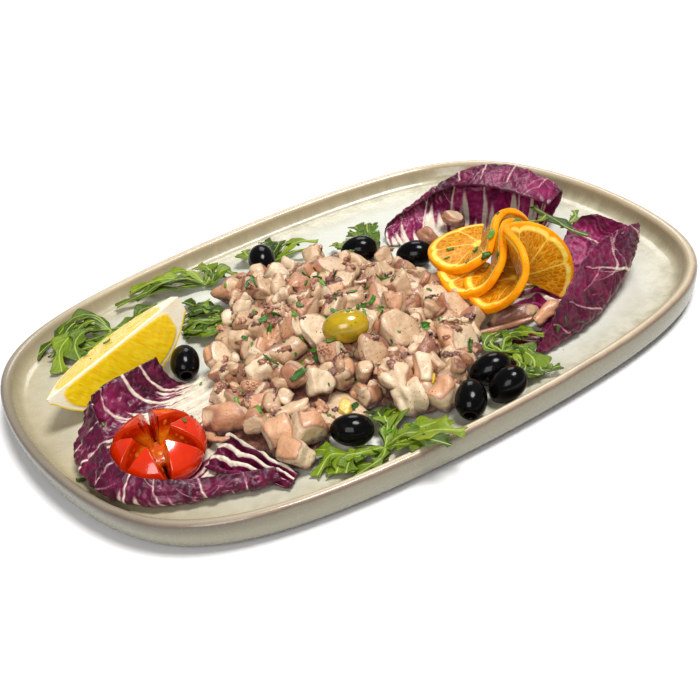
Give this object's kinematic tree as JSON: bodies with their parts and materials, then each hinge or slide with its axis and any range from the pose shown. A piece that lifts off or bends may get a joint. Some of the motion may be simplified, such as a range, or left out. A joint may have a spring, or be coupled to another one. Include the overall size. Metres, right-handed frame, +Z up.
{
  "type": "octopus salad",
  "caption": "Octopus salad of cut arms with olives, radicchio, rocket, a lemon wedge, a cut tomato and twisted orange slices, on an oval rimmed stoneware platter.",
  "frame": {"origin": "centre of the platter's foot, on the surface that it stands on", "axes": "+X along the platter's long side, towards the orange slices; +Y across it, to the far side of the picture; +Z up"},
  "size_m": [0.36, 0.277, 0.0555],
  "materials": {
    "stoneware": "pale reactive glaze on stoneware, tan at the rim and olive grey outside",
    "octopus": "moist boiled octopus, cream flesh with pink and purple-brown skin",
    "black_olive": "glossy black olive skin",
    "green_olive": "glossy yellow-green olive skin",
    "tomato": "glossy red skin, wet cut faces",
    "lemon": "yellow rind and wet yellow flesh",
    "orange": "orange rind, pale pith and wet orange flesh",
    "radicchio": "satin purple-red leaf with white ribs and veins",
    "rocket": "satin green leaf with a pale midrib"
  },
  "bodies": {
    "root": {"arugula_back": "rocket", "arugula_back_left": "rocket", "arugula_front": "rocket", "arugula_left": "rocket", "arugula_left_back": "rocket", "arugula_lemon": "rocket", "arugula_right": "rocket", "arugula_sprig": "rocket", "lemon_wedge": "lemon", "octopus_bit_1": "octopus", "octopus_bit_2": "octopus", "octopus_bit_3": "octopus", "octopus_bit_4": "octopus", "octopus_bit_5": "octopus", "octopus_heap": "octopus", "olive_black_1": "black_olive", "olive_black_2": "black_olive", "olive_black_3": "black_olive", "olive_black_4": "black_olive", "olive_black_5": "black_olive", "olive_black_6": "black_olive", "olive_black_7": "black_olive", "olive_black_8": "black_olive", "olive_green": "green_olive", "orange_twist_1": "orange", "orange_twist_2": "orange", "orange_twist_3": "orange", "platter": "stoneware", "radicchio_back": "radicchio", "radicchio_left": "radicchio", "radicchio_right": "radicchio", "radicchio_under": "radicchio", "tomato": "tomato"}
  },
  "joints": []
}
